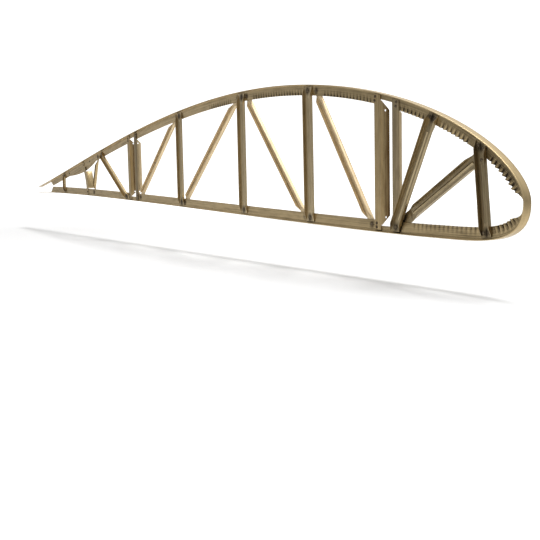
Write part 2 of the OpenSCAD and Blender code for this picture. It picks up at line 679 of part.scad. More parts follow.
// Rivets of an angle's end: one above the other, clear of the scoop
function angle_rivets_at(face, side) = let (x = face + side * (angle_w - head_r - 1.1))
    [inside(top_at(x), rivet_line - 2.4), inside(top_at(x), rivet_line + 2.4),
        inside(low_at(x), rivet_line - 2.4), inside(low_at(x), rivet_line + 2.4)];
FRONT_TAIL = angle_rivets_at(front_spar_back, 1);
FRONT_NOSE = angle_rivets_at(front_spar_back - spar_w, -1);
REAR_TAIL = angle_rivets_at(rear_spar_back, 1);
REAR_NOSE = angle_rivets_at(rear_spar_back - spar_w, -1);
// The front spar's nose angle is held at its foot by the rivet that it shares with the brace
FRONT_NOSE_TOP = [FRONT_NOSE[0], FRONT_NOSE[1]];

// The curved angle that faces the cove, its plate bent to the cove's curve
cove_rivet_a = inside(cove_a, rivet_line);
cove_rivet_b = inside(cove_b, rivet_line);
module cove_angle() {
    color(DARK_BRONZE)
    difference() {
        intersection() {
            cove_turn([[cove_r, 0], [cove_r, angle_d], [cove_r - angle_w, angle_d],
                [cove_r - angle_w, angle_d - angle_t], [cove_r - angle_t, angle_d - angle_t],
                [cove_r - angle_t, 0]]);
            cove_window(flange_t + end_gap, flange_t + end_gap);
        }
        // The plate and its bend end clear of the caps' webs and of the gusset
        difference() {
            cove_turn([[cove_r + 1, -1], [cove_r + 1, angle_d + 1],
                [cove_r - angle_t - wall_gap / 2, angle_d + 1], [cove_r - angle_t - wall_gap / 2, -1]]);
            cove_window(cap_h + wall_gap, cap_h + gusset_sag + 2 * wall_gap);
        }
        for (p = [cove_rivet_a, cove_rivet_b]) rivet_hole(p);
    }
}

// A section, as [radius, distance from the plate's far edge], turned about the cove's centre
module cove_turn(section) {
    translate([cove_mid[0], angle_front + angle_d, cove_mid[1]])
    rotate([90, 0, 0])
    rotate([0, 0, -20])
    rotate_extrude(angle = 95, $fn = 180)
    polygon(section);
}

// The space between the caps about the cove, at the depths low and top under their outer faces
module cove_window(low, top) {
    x0 = chord - cove_centre - cove_r - 40;
    x1 = chord - cove_centre;
    translate([0, 40, 0])
    rotate([90, 0, 0])
    linear_extrude(height = 80)
    polygon([[nose_x - x0, cap_line(x0, cove_b, low)], [nose_x - x0, cap_line(x0, cove_a, top)],
        [nose_x - x1, cap_line(x1, cove_a, top)], [nose_x - x1, cap_line(x1, cove_b, low)]]);
}

// The bowed gusset under the upper web between the tail upright and the cove strut, on the far side
gusset_from = tail_upright_a + tail_w / 2 + 1.5;
gusset_to = cove_strut_a - slim_w / 2 - 7;
GUSSET_ARC = [for (i = [0 : 12]) let (v = i / 12, s = gusset_from + (gusset_to - gusset_from) * v)
    inside(s, cap_h - 3 + (gusset_sag + 3) * pow(sin(180 * pow(v, 1.3)), 0.8))];
GUSSET_TOP = [for (i = [12 : -1 : 0]) inside(gusset_from + (gusset_to - gusset_from) * i / 12,
    flange_t + end_gap)];
GUSSET_HOLES = [for (v = [0.12, 0.8]) inside(gusset_from + (gusset_to - gusset_from) * v, rivet_line)];
module tail_gusset() {
    color(DARK_BRONZE)
    difference() {
        translate([0, tab_back, 0])
        rotate([90, 0, 0])
        linear_extrude(height = sheet_t)
        polygon(concat(GUSSET_ARC, GUSSET_TOP));
        for (p = concat(GUSSET_HOLES, [cove_rivet_a])) rivet_hole(p);
    }
}

// Every rivet, by what it holds
NEAR_ENDS = [first_upright_a, first_upright_b, second_upright_a, second_upright_b, third_upright_a,
    third_upright_b, tail_upright_a, tail_upright_b, tail_diagonal_a, tail_diagonal_b];
PAIRED_ENDS = [brace_a, nose_strut_a, nose_strut_b];
FAR_ENDS = [first_diagonal_a, first_diagonal_b, second_diagonal_a, second_diagonal_b, third_diagonal_a,
    third_diagonal_b, fourth_diagonal_a, fourth_diagonal_b, cove_strut_a, cove_strut_b];
FAR_HOLES = concat([for (s = FAR_ENDS) joint(s)], GUSSET_HOLES);

module front_rivets() {
    color(STEEL) {
        for (s = NEAR_ENDS) rivet(joint(s), tab_front, web_back);
        for (s = PAIRED_ENDS, p = pair(s)) rivet(p, tab_front, web_back);
        through_rivet(nose_shared, tab_front, web_front + sheet_t);
    }
}

module back_rivets() {
    color(STEEL)
    for (p = FAR_HOLES) rivet(p, web_front, tab_back);
}

module angle_rivets() {
    color(STEEL) {
        for (p = concat(FRONT_TAIL, FRONT_NOSE_TOP, REAR_TAIL, REAR_NOSE, [cove_rivet_b]))
            rivet(p, angle_front, web_back);
        rivet(cove_rivet_a, angle_front, tab_back);
        rivet(brace_low, angle_front - sheet_t, tab_back);
    }
}

module front_spar_tail_angle() {
    color(DARK_BRONZE)
    spar_angle(front_spar_back, 1, front_nails, 0, FRONT_TAIL);
}

module front_spar_nose_angle() {
    color(PALE_BRONZE)
    spar_angle(front_spar_back - spar_w, -1, front_nails, 0, concat(FRONT_NOSE_TOP, [brace_low]));
}

module rear_spar_tail_angle() {
    color(DARK_BRONZE)
    spar_angle(rear_spar_back, 1, rear_nails, rear_nails_up, REAR_TAIL);
}

module rear_spar_nose_angle() {
    color(PALE_BRONZE)
    spar_angle(rear_spar_back - spar_w, -1, rear_nails, rear_nails_up, REAR_NOSE);
}

module first_upright() {
    color(BRONZE)
    near_channel(first_upright_b, first_upright_a, upright_w, upright_h);
}

module second_upright() {
    color(BRONZE)
    near_channel(second_upright_b, second_upright_a, upright_w, upright_h);
}

module third_upright() {
    color(BRONZE)
    near_channel(third_upright_b, third_upright_a, upright_w, upright_h);
}

module tail_upright_channel() {
    color(BRONZE)
    near_channel(tail_upright_b, tail_upright_a, tail_w, upright_h);
}

module tail_diagonal() {
    color(BRONZE)
    near_channel(tail_diagonal_b, tail_diagonal_a, tail_w, strut_h);
}

module first_diagonal() {
    color(PALE_BRONZE)
    far_channel(first_diagonal_b, first_diagonal_a, channel_w);
}

module second_diagonal() {
    color(PALE_BRONZE)
    far_channel(second_diagonal_b, second_diagonal_a, channel_w);
}

module third_diagonal() {
    color(PALE_BRONZE)
    far_channel(third_diagonal_b, third_diagonal_a, channel_w);
}

module fourth_diagonal() {
    color(PALE_BRONZE)
    far_channel(fourth_diagonal_b, fourth_diagonal_a, channel_w);
}

module cove_strut() {
    color(PALE_BRONZE)
    far_channel(cove_strut_b, cove_strut_a, slim_w);
}

cap_strip();
nose_strut();
nose_diagonal();
spar_brace();
front_spar_nose_angle();
front_spar_tail_angle();
first_diagonal();
first_upright();
second_diagonal();
second_upright();
third_diagonal();
third_upright();
fourth_diagonal();
rear_spar_nose_angle();
rear_spar_tail_angle();
tail_diagonal();
cove_strut();
cove_angle();
tail_upright_channel();
tail_gusset();
front_rivets();
back_rivets();
angle_rivets();
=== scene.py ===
# %% [markdown]
# # A built-up wing rib
# This rib comes from a fabric-covered wing. A thin T-section strip runs along the whole outline, and pressed
# channels and angles inside it make a truss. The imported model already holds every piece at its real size, so
# this lesson works on what a maker would see next: the rolled sheet, the folded crimps and the light.

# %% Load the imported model
import math

import bpy
import numpy as np
from mathutils import Matrix


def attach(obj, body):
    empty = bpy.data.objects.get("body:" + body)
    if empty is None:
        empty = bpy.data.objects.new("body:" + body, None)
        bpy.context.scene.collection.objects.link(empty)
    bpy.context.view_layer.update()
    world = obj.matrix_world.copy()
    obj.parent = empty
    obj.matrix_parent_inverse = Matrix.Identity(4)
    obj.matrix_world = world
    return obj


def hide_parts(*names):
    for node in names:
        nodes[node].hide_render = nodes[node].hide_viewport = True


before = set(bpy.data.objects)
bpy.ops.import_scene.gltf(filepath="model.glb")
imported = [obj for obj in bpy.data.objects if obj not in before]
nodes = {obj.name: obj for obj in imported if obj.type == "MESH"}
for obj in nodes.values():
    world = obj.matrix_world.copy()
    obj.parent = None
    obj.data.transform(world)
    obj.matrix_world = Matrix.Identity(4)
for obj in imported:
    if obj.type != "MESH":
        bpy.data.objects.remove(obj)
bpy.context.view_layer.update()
scene = bpy.context.scene
scene.view_settings.view_transform = "Standard"
MM = 0.001
print("pieces in the packed model:", len(nodes))

# %% [markdown]
# ## The camera
# The camera stands ahead of the nose and looks aft along the rib, a little downwards. The three turns below
# say that in degrees. A 60 mm lens on a 36 mm sensor gives the photograph's perspective, so the long rib
# shrinks towards its tail by the right amount.

# %% Place the camera
LENS = 60
SENSOR = 36
CAMERA_AT = (0.8619, -0.6783, -0.0012)
OFF_CHORD = 31.03
LOOK_DOWN = 6.49
ROLL = -1.23
camera_data = bpy.data.cameras.new("photo_camera")
camera_data.lens = LENS
camera_data.sensor_width = SENSOR
camera = bpy.data.objects.new("photo_camera", camera_data)
camera.matrix_world = (
    Matrix.Translation(CAMERA_AT)
    @ Matrix.Rotation(math.radians(90 - OFF_CHORD), 4, "Z")
    @ Matrix.Rotation(math.radians(90 - LOOK_DOWN), 4, "X")
    @ Matrix.Rotation(math.radians(ROLL), 4, "Z")
)
scene.collection.objects.link(camera)
scene.camera = camera
print("camera at", CAMERA_AT)

# %% [markdown]
# ## The outline
# The rib's edge is a smooth wing section. It could be a long row of points, but four cubic Bezier curves
# that meet at the tail, the crest, the nose tip and the lowest point say it with a few sizes. We work in
# millimetres, count places behind the nose, and measure along the edge from the upper tail round the nose to
# the lower tail. Every later piece asks this path where it is.

# %% Name the outline's sizes
CHORD = 1600.0
NOSE = np.array([231.0, -41.6])
CREST = (522.0, 155.0)
LOWEST = (132.0, -41.3)
TAIL_TOP = (CHORD, 5.8)
TAIL_LOW = (CHORD, -9.4)
TAIL_TOP_SLOPE = math.radians(9.2)
TAIL_LOW_SLOPE = math.radians(1.7)
# How far each curve is drawn out in the direction that it has at its end
TAIL_TOP_PULL = 346
CREST_AFT_PULL = 333
CREST_FRONT_PULL = 351
TIP_UP_PULL = 50
TIP_DOWN_PULL = 46
LOWEST_FRONT_PULL = 73
LOWEST_AFT_PULL = 228
TAIL_LOW_PULL = 308
SAMPLES = 2000
print("chord: %.0f mm" % CHORD)

# %% Build the outline's path


def spot(place):
    """A place given as (behind the nose, above the nose tip), as X and Z in millimetres."""
    return np.array([NOSE[0] - place[0], NOSE[1] + place[1]])


def slope(angle):
    """The unit step that climbs towards the nose at an angle."""
    return np.array([math.cos(angle), math.sin(angle)])


def bezier(p0, p1, p2, p3):
    """(1-t)^3 p0 + 3 t (1-t)^2 p1 + 3 t^2 (1-t) p2 + t^3 p3, for t from 0 up to 1."""
    t = (np.arange(SAMPLES) / SAMPLES)[:, None]
    return (1 - t) ** 3 * p0 + 3 * t * (1 - t) ** 2 * p1 + 3 * t**2 * (1 - t) * p2 + t**3 * p3


crest = spot(CREST)
lowest = spot(LOWEST)
tail_top = spot(TAIL_TOP)
tail_low = spot(TAIL_LOW)
from_tail = tail_top + TAIL_TOP_PULL * slope(TAIL_TOP_SLOPE)
to_tail = tail_low + TAIL_LOW_PULL * slope(TAIL_LOW_SLOPE)
path = np.concatenate([
    bezier(tail_top, from_tail, crest - [CREST_AFT_PULL, 0], crest),
    bezier(crest, crest + [CREST_FRONT_PULL, 0], NOSE + [0, TIP_UP_PULL], NOSE),
    bezier(NOSE, NOSE - [0, TIP_DOWN_PULL], lowest + [LOWEST_FRONT_PULL, 0], lowest),
    bezier(lowest, lowest - [LOWEST_AFT_PULL, 0], to_tail, tail_low),
    [tail_low],
])
lengths = np.concatenate([[0], np.cumsum(np.linalg.norm(np.diff(path, axis=0), axis=1))])
ways = np.gradient(path, lengths, axis=0)
ways /= np.linalg.norm(ways, axis=1)[:, None]
whole = lengths[-1]
print("length of the cap strip: %.0f mm" % whole)

# %% Ask the path for places


def edge(s):
    """The outline's X and Z at a length s along it."""
    return np.stack([np.interp(s, lengths, path[:, 0]), np.interp(s, lengths, path[:, 1])], axis=-1)


def run(s):
    """The unit step along the outline at s."""
    return np.stack([np.interp(s, lengths, ways[:, 0]), np.interp(s, lengths, ways[:, 1])], axis=-1)


def inward(s):
    """The unit step from the outline into the rib: the step along it, turned a quarter clockwise."""
    return run(s)[..., ::-1] * [1, -1]


def under(s, depth):
    """The point at a depth below the outline at s."""
    return edge(s) + inward(s) * depth


def top_at(back):
    """The length along the outline where the upper edge, its first two curves, is so far behind the nose."""
    return np.interp(NOSE[0] - back, path[: 2 * SAMPLES, 0], lengths[: 2 * SAMPLES])


def low_at(back):
    """The same for the lower edge, the last two curves, which are read backwards."""
    return np.interp(NOSE[0] - back, path[: 2 * SAMPLES : -1, 0], lengths[: 2 * SAMPLES : -1])


print("length up to the nose tip: %.0f mm" % top_at(0))

# %% Say where each member ends
RIVET_LINE = 8.0
NOSE_AIM = 15.0
# Each member's foot and top, as lengths along the outline, and its width
ENDS = {
    "nose_strut": (low_at(54.5), top_at(60), 14.5),
    "nose_diagonal": (low_at(202.5), top_at(60), 14.5),
    "spar_brace": (low_at(202.5), top_at(136), 15.5),
    "first_diagonal": (low_at(250), top_at(367), 11.0),
    "first_upright": (low_at(386), top_at(386), 19.5),
    "second_diagonal": (low_at(398.5), top_at(553), 11.0),
    "second_upright": (low_at(568), top_at(568), 19.5),
    "third_diagonal": (low_at(774.5), top_at(580), 11.0),
    "third_upright": (low_at(786.5), top_at(786.5), 19.5),
    "fourth_diagonal": (low_at(967), top_at(798.5), 11.0),
    "tail_diagonal": (low_at(1037), top_at(1166), 12.5),
    "cove_strut": (low_at(1219), top_at(1189), 7.0),
    "tail_upright_channel": (low_at(1409), top_at(1409), 12.5),
}


def line_of(name):
    """The riveted points at a member's foot and top. The nose diagonal ends lower, on the strut."""
    foot, top, _ = ENDS[name]
    top_depth = NOSE_AIM if name == "nose_diagonal" else RIVET_LINE
    return under(foot, RIVET_LINE), under(top, top_depth)


def lean(name):
    """The angle of a member from upright, positive where its top leans to the nose."""
    foot, top = line_of(name)
    return math.atan2(top[0] - foot[0], top[1] - foot[1])


print("first diagonal leans %.1f degrees" % math.degrees(lean("first_diagonal")))

# %% [markdown]
# ## The crimped cap strip
# A flat-webbed T can't be bent round a nose this tight: the web's free edge is too long for the tighter
# curve. The maker gathers that spare length into crimps, deep pleats round the nose that fade into shallow
# flutes towards the crest, and presses them flat under each riveted end. Pleats set side by side would leave
# seams, so one section is carried along the whole outline instead: the flange and the root of the web stay
# plain, and only the free edge swings from side to side.

# %% Name the strip's sizes
CAP_W = 11.0
CAP_H = 14.3
FLANGE_T = 1.2
WEB_T = 1.2
SPAR_W = 22.0
SPARS = (231.0, 1010.0)
PITCH = 7.1
CRIMPS_FROM = 680
CRIMPS_TO = 178
crimp_from = top_at(CRIMPS_FROM)
crimp_to = low_at(CRIMPS_TO)
half_waves = 2 * round((crimp_to - crimp_from) / PITCH)
print("crimps along the strip:", half_waves // 2)

# %% Press the crimps flat where something is riveted
ANGLE_LAND_OFF = 6
ANGLE_LAND_HALF = 10


def ramp(v):
    """Limits v to the range from 0 to 1."""
    return np.clip(v, 0, 1)


def ease(v):
    """A soft step from 0 to 1: 3 v^2 - 2 v^3."""
    return ramp(v) ** 2 * (3 - 2 * ramp(v))


def land(s):
    """0 where a riveted end presses the crimps flat, 1 in the open. A member that meets the cap at a slant
    covers more of it: its width divided by the cosine of the slant, called square here."""
    found = [np.ones_like(s)]
    for name, (foot, top, width) in ENDS.items():
        low_end, high_end = line_of(name)
        member = high_end - low_end
        for end in (foot, top):
            square = abs(member @ inward(end)) / np.linalg.norm(member)
            shift = (CAP_H - RIVET_LINE) * math.sqrt(1 - square * square)
            half = (width / 2 + shift) / square + PITCH / 2
            if name != "nose_diagonal" or end == foot:
                found.append(ramp((abs(s - end) - half) / (PITCH / 2)))
    for back in (SPARS[0] + ANGLE_LAND_OFF, SPARS[0] - SPAR_W - ANGLE_LAND_OFF):
        found.append(ramp((abs(s - top_at(back)) - ANGLE_LAND_HALF) / (PITCH / 2)))
    return np.min(found, axis=0)


crimped_run = np.linspace(crimp_from, crimp_to, SAMPLES)
print("share of the crimped run that is pressed flat: %.2f" % np.mean(land(crimped_run) == 0))

# %% Lower the web at the spars, the nose tip and the tail
SCOOP_H = 7.6
SCOOP_ROUND = 4.5
SCOOP_MARGIN = 2
NOSE_WEB = 5.8
NOSE_TAPER = 22.0
NOSE_LOW_AT = 4
NOSE_LOW_HALF = 6
TAIL_BARE = 86.0
TAIL_CUT = 14.0
TAIL_STUB = 0.6


def web_h(s):
    """Height of the strip from its outer face: the least of what the spars' scoops, the nose tip and the
    bare tail leave of it."""
    clear = np.ones_like(s)
    for back in SPARS:
        for at in (top_at, low_at):
            aft = at(back)
            front = at(back - SPAR_W)
            beyond = abs(s - (aft + front) / 2) - abs(aft - front) / 2 - SCOOP_MARGIN - PITCH / 2
            clear = np.minimum(clear, ease(beyond / SCOOP_ROUND))
    nose = ease((abs(s - top_at(0) - NOSE_LOW_AT) - NOSE_LOW_HALF) / NOSE_TAPER)
    bare = CHORD - TAIL_BARE
    tail = np.minimum(ramp((s - top_at(bare)) / TAIL_CUT), ramp((low_at(bare) - s) / TAIL_CUT))
    return np.minimum.reduce([
        SCOOP_H + (CAP_H - SCOOP_H) * clear,
        NOSE_WEB + (CAP_H - NOSE_WEB) * nose,
        FLANGE_T + TAIL_STUB + (CAP_H - FLANGE_T - TAIL_STUB) * tail,
    ])


print("lowest web on the crimped run: %.1f mm" % web_h(crimped_run).min())

# %% Swing the free edge
PLEAT_THROW = 1.7
FLUTE_THROW = 0.55
TOP_PLEATS = 270.0
LOW_PLEATS = 90.0
PLEAT_FADE = 0.6
RUN_IN = 3
BROADER = 0.25


def throw(s):
    """How far the free edge swings: shallow flutes aft, deep pleats round the nose, nothing on a land."""
    back = NOSE[0] - edge(s)[..., 0]
    reach = np.where(s > top_at(0), LOW_PLEATS, TOP_PLEATS)
    size = FLUTE_THROW + (PLEAT_THROW - FLUTE_THROW) * ease((reach - back) / (PLEAT_FADE * reach))
    ends = ramp((s - crimp_from) / (RUN_IN * PITCH)) * ramp((crimp_to - s) / PITCH)
    return size * land(s) * ramp((web_h(s) - SCOOP_H) / (CAP_H - SCOOP_H)) * ends


def wave(s):
    """The swing of the crimps, from -1 to 1: a cosine c with its crests broadened, c (1.25 - 0.25 c^2)."""
    swing = np.cos(math.pi * (s - crimp_from) / (crimp_to - crimp_from) * half_waves)
    return swing * (1 + BROADER - BROADER * swing**2)


print("deepest pleat: %.2f mm to each side" % throw(crimped_run).max())

# %% Shape the T section
EDGE_ROUND = 0.45
ROOT_ROUND = 0.9
ROUND_SHARE = 0.4
TURN_STEPS = 4
WEB_STEPS = 9
PLAIN_BAND = 5.5
PLAIN_SHARE = 0.45
SWING_POWER = 1.15


def half_section(s):
    """One side of the T at each s, as (across, depth, share of the throw): a flat outer face, a rounded
    flange edge, a filleted root and the web down to its rounded free edge."""
    h = web_h(s)[:, None]
    ones = np.ones_like(h)
    turn = np.linspace(0, math.pi / 2, TURN_STEPS)
    face_y = np.array([0.0, CAP_W / 4])
    edge_y = CAP_W / 2 - EDGE_ROUND + EDGE_ROUND * np.sin(turn)
    edge_d = EDGE_ROUND - EDGE_ROUND * np.cos(turn)
    under_y = CAP_W / 2 - EDGE_ROUND + EDGE_ROUND * np.cos(turn)
    under_d = FLANGE_T - EDGE_ROUND + EDGE_ROUND * np.sin(turn)
    root = np.minimum(ROOT_ROUND, (h - FLANGE_T) * ROUND_SHARE)
    root_y = WEB_T / 2 + root * (1 - np.sin(turn))
    root_d = FLANGE_T + root * (1 - np.cos(turn))
    tip = np.minimum(EDGE_ROUND, (h - FLANGE_T - root) * ROUND_SHARE)
    down = np.linspace(0, 1, WEB_STEPS + 1)[1:]
    web_d = FLANGE_T + root + (h - tip - FLANGE_T - root) * down
    web_y = WEB_T / 2 * np.ones_like(web_d)
    free_y = WEB_T / 2 - EDGE_ROUND * (1 - np.cos(turn[1:])) * ones
    free_d = h - tip + tip * np.sin(turn[1:])
    across = [face_y * ones, edge_y * ones, under_y * ones, root_y, web_y, free_y, 0 * h]
    depth = [0 * face_y * ones, edge_d * ones, under_d * ones, root_d, web_d, free_d, h]
    across = np.concatenate(across, axis=1)
    depth = np.concatenate(depth, axis=1)
    band = np.minimum(PLAIN_BAND, FLANGE_T + PLAIN_SHARE * (h - FLANGE_T))
    return across, depth, ramp((depth - band) / (h - band)) ** SWING_POWER


def both_sides(half, sign=1):
    """Joins one side of the section to the other, without a second copy of its two middle points."""
    return np.concatenate([half, sign * half[:, -2:0:-1]], axis=1)


print("points round the section:", both_sides(half_section(crimped_run)[0]).shape[1])

# %% Pick the stations along the outline
STEPS_A_HALF_WAVE = 7
TOP_STATIONS = 330
LOW_STATIONS = 420
SCOOP_REACH = 12
SCOOP_STATIONS = 25
DIGITS = 3


def sweep_stations():
    """Lengths along the outline: dense through the crimps and the scoops, and sparser on the plain runs."""
    fine = np.linspace(crimp_from, crimp_to, half_waves * STEPS_A_HALF_WAVE + 1)
    rest = [np.linspace(0, crimp_from, TOP_STATIONS), np.linspace(crimp_to, whole, LOW_STATIONS)]
    for back in SPARS:
        for at in (top_at, low_at):
            for end in (at(back), at(back - SPAR_W)):
                rest.append(end + np.linspace(-SCOOP_REACH, SCOOP_REACH, SCOOP_STATIONS))
    s = np.unique(np.round(np.concatenate([fine] + rest), DIGITS))
    plain = (s <= crimp_from) | (s >= crimp_to)
    return np.unique(np.concatenate([fine, s[plain]]))


stations = sweep_stations()
print("stations along the outline:", len(stations))

# %% Carry the section along the outline


def cap_surface(s):
    """Point(s, k) = edge(s) + inward(s) depth_k, at across_k + throw(s) wave(s) share_k to the side. Gives
    back the points and, for each of them, across, depth and swing."""
    across, depth, share = half_section(s)
    y = both_sides(across, -1)
    d = both_sides(depth)
    swing = (throw(s) * wave(s))[:, None] * both_sides(share)
    place = edge(s)[:, None, :] + inward(s)[:, None, :] * d[:, :, None]
    points = np.stack([place[..., 0], y + swing, place[..., 1]], axis=-1)
    return points, y, d, swing


def flange_middle(s):
    """The middle of the flange at s, as X, Y and Z."""
    x, z = edge(s) + inward(s) * FLANGE_T / 2
    return np.array([x, 0.0, z])


def close_ends(rings, s):
    """Adds a ring shrunk to one point, inside the flange, at each end of the strip."""
    shape = (1,) + rings.shape[1:]
    first = np.broadcast_to(flange_middle(s[0]), shape)
    last = np.broadcast_to(flange_middle(s[-1]), shape)
    return np.concatenate([first, rings, last])


rings, cap_y, cap_d, cap_swing = cap_surface(stations)
cap_points = close_ends(rings, stations)
print("points of the strip:", cap_points.shape[0] * cap_points.shape[1])

# %% [markdown]
# The cap strip gets painted shade in the hollows of the crimps. Its web, below the flange, is darker towards
# the nose, most on the upper run there, and it is dirty round the rivets. A texture can't know where a hollow
# is, but the surface does, so each point keeps two numbers for the material: how deep it lies in a fold, and
# how dark its web and rivet dirt make it.

# %% Mark the painted shade in the folds, the darker web and the dirt at rivets
LEAST_THROW = 0.05
SHALLOW_FOLD = 0.3
NOSE_BLEND = 30
WEB_DULL = 0.35
WEB_DULL_FROM = 60
WEB_DULL_RUN = 600
NOSE_DULL = 0.35
NOSE_DULL_END = 110
NOSE_DULL_RUN = 90
UNDER_FLANGE = 0.6
RIVET_DIRT = 6.5
RIVET_DIRT_RUN = 4


def on_top(s):
    """1 on the upper run, 0 on the lower run, with a blend before the nose tip."""
    return ramp((top_at(0) - s[:, None]) / NOSE_BLEND)


def painted_fold_shade(s, y, swing):
    """Painted shade in the crimps' hollows: the swing away from a point's own side, as a share of the throw.
    On the lower run, folds that are less than a full pleat get less of it."""
    size = throw(s)[:, None]
    full = PLEAT_THROW + (SHALLOW_FOLD - PLEAT_THROW) * on_top(s)
    return ramp(-np.sign(y) * swing / np.maximum(size, LEAST_THROW)) * ramp(size / full)


def web_and_rivet_darkening(s, d):
    """The web's darkening below the flange, fading aft and strongest in the upper nose, and the dirt at
    riveted ends.
    """
    back = NOSE[0] - edge(s)[:, None, 0]
    dull = WEB_DULL - WEB_DULL * ramp((back - WEB_DULL_FROM) / WEB_DULL_RUN)
    dull = dull + NOSE_DULL * on_top(s) * ramp((NOSE_DULL_END - back) / NOSE_DULL_RUN)
    found = dull * ramp((d - FLANGE_T) / UNDER_FLANGE)
    for foot, top, _ in ENDS.values():
        for end in (foot, top):
            away = np.hypot(s[:, None] - end, d - RIVET_LINE)
            found = np.maximum(found, ramp((RIVET_DIRT - away) / RIVET_DIRT_RUN))
    return found


clean_end_rings = ((1, 1), (0, 0))
shade_in_folds = np.pad(painted_fold_shade(stations, cap_y, cap_swing), clean_end_rings)
web_and_rivet_dark = np.pad(web_and_rivet_darkening(stations, cap_d), clean_end_rings)
print("mean fold %.2f, mean smudge %.2f" % (shade_in_folds.mean(), web_and_rivet_dark.mean()))

# %% Put arrays into a mesh


def grid_faces(rows, columns, closed):
    """The faces (i, k), (i + 1, k), (i + 1, k + 1), (i, k + 1) of a grid of points. A closed grid joins its
    last column to its first."""
    i, k = np.meshgrid(np.arange(rows - 1), np.arange(columns if closed else columns - 1), indexing="ij")
    k_next = (k + 1) % columns
    corners = [i * columns + k, (i + 1) * columns + k, (i + 1) * columns + k_next, i * columns + k_next]
    return np.stack(corners, axis=-1).reshape(-1, 4)


def add_mesh(name, points, faces, attributes, uv=None):
    """Puts arrays, in millimetres, into a mesh object at the origin, with smooth faces."""
    mesh = bpy.data.meshes.new(name)
    mesh.vertices.add(len(points))
    mesh.vertices.foreach_set("co", np.ascontiguousarray(points * MM, np.float32).ravel())
    mesh.loops.add(faces.size)
    mesh.loops.foreach_set("vertex_index", faces.astype(np.int32).ravel())
    mesh.polygons.add(len(faces))
    mesh.polygons.foreach_set("loop_start", np.arange(len(faces), dtype=np.int32) * faces.shape[1])
    mesh.update(calc_edges=True)
    mesh.validate()
    mesh.polygons.foreach_set("use_smooth", np.ones(len(mesh.polygons), bool))
    for key, values in attributes.items():
        layer = mesh.attributes.new(key, "FLOAT", "POINT")
        layer.data.foreach_set("value", values.astype(np.float32).ravel())
    if uv is not None:
        layer = mesh.uv_layers.new(name="along")
        layer.data.foreach_set("uv", uv[faces.ravel()].astype(np.float32).ravel())
    piece = bpy.data.objects.new(name, mesh)
    scene.collection.objects.link(piece)
    print("made", name, "with", len(mesh.polygons), "faces")
    return piece


print("two rings of four points make", len(grid_faces(2, 4, closed=True)), "faces")

# %% Make the crimped cap
rows, columns = cap_points.shape[:2]
# One ring on the plain upper run gives the map's distances round the section
sample = cap_points[rows // 4]
along = np.pad(stations, 1, mode="edge")
around = np.concatenate([[0], np.cumsum(np.linalg.norm(np.diff(sample, axis=0), axis=1))])
strip_uv = np.stack(np.broadcast_arrays(along[:, None] * MM, around[None, :] * MM), axis=-1)
cap = add_mesh(
    "crimped_cap",
    cap_points.reshape(-1, 3),
    grid_faces(rows, columns, closed=True),
    {"shade_in_folds": shade_in_folds, "web_and_rivet_dark": web_and_rivet_dark},
    strip_uv.reshape(-1, 2),
)
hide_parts("cap_strip")
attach(cap, "root")

# %% [markdown]
# ## The sheet's finish
# The sheet is rolled, so fine lines run along each member, and its bronze colour is a thin satin finish,
# mottled at random and dirty round the riveted ends. Shade is painted into that colour too: ambient occlusion
# darkens it in the folds, inside the channels and in every corner. It could be painted piece by piece, but one
# node group makes all of it from noise and from how closed in a point is. It puts out a colour, a roughness
# and a height, and every material places it with its own colours.

# %% Add nodes in few words
NOISE_ROUGH = 0.6


def span(tree, source, low, high, to_low=0.0, to_high=1.0):
    """Adds a Map Range node that turns low..high into to_low..to_high, and gives back its output."""
    node = tree.nodes.new("ShaderNodeMapRange")
    node.inputs["From Min"].default_value = low
    node.inputs["From Max"].default_value = high
    node.inputs["To Min"].default_value = to_low
    node.inputs["To Max"].default_value = to_high
    tree.links.new(source, node.inputs["Value"])
    return node.outputs["Result"]


def combine(tree, way, a, b):
    """Adds a clamped Math node of two values, which are sockets or numbers, and gives back its output."""
    node = tree.nodes.new("ShaderNodeMath")
    node.operation = way
    node.use_clamp = True
    for place, value in enumerate((a, b)):
        if isinstance(value, (int, float)):
            node.inputs[place].default_value = value
        else:
            tree.links.new(value, node.inputs[place])
    return node.outputs[0]


def stretched(tree, vector, amount):
    """Adds a node that scales a vector axis by axis."""
    node = tree.nodes.new("ShaderNodeVectorMath")
    node.operation = "MULTIPLY"
    node.inputs[1].default_value = amount
    tree.links.new(vector, node.inputs[0])
    return node.outputs[0]


def noise(tree, vector, grain, detail):
    """Adds a noise texture with so many grains a metre along each axis, and gives back its value."""
    node = tree.nodes.new("ShaderNodeTexNoise")
    node.inputs["Scale"].default_value = 1
    node.inputs["Detail"].default_value = detail
    node.inputs["Roughness"].default_value = NOISE_ROUGH
    tree.links.new(stretched(tree, vector, grain), node.inputs["Vector"])
    return node.outputs["Fac"]


def attribute(tree, name):
    """Adds a node that reads a number kept by the mesh."""
    node = tree.nodes.new("ShaderNodeAttribute")
    node.attribute_name = name
    return node.outputs["Fac"]


print("helpers for nodes:", [helper.__name__ for helper in (span, combine, stretched, noise, attribute)])

# %% Make the rolled sheet group
LINE_GRAIN = (900, 900, 6)
LINE_DETAIL = 3
LINE_RANGE = (0.55, 0.25)
PATINA_GRAIN = (160, 160, 45)
PATINA_DETAIL = 6
PATINA_RANGE = (0.42, 0.75)
CREVICE_REACH = 0.005
CREVICE_SAMPLES = 8
CREVICE_RANGE = (0.62, 0.12)
# The most painted shade that a closed-in crevice gets
CREVICE_SHADE = 0.8
DIRT_AND_SHADE_ROUGH = 0.25
